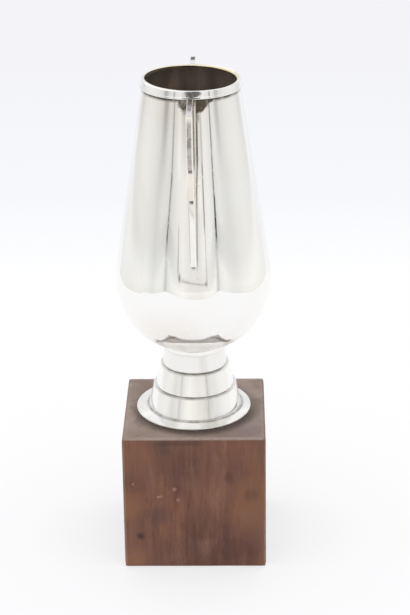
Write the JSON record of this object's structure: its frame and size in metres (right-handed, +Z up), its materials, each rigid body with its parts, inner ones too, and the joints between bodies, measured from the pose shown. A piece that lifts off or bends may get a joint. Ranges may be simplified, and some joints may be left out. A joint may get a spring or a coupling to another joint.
{
  "type": "trophy cup",
  "caption": "Tapering round-bottomed metal cup with stepped strap handles and a stepped round foot, held on a square wooden plinth.",
  "frame": {"origin": "on the plinth's underside, directly under the cup's axis", "axes": "+Z up along the cup's axis, handles at +X and -X, the cup's plain face towards -Y"},
  "size_m": [0.0994, 0.0768, 0.2432],
  "materials": {
    "silver": "hand-polished silver, bright, with fine scratches and dark tarnish in the corners",
    "plinth_wood": "brown waxed wood with upright grain, edges worn and lighter",
    "steel": "plain zinc-plated steel, dulled",
    "brass": "dull yellow brass"
  },
  "bodies": {
    "root": {"plinth_block": "plinth_wood", "lower_tier": "silver", "middle_tier": "silver", "upper_tier": "silver", "neck_ring": "silver", "cup_body": "silver", "rim_band": "silver", "right_handle": "silver", "left_handle": "silver", "bearer_plate": "brass", "clamp_stud": "steel", "washer": "steel", "clamp_nut": "steel"}
  },
  "joints": []
}
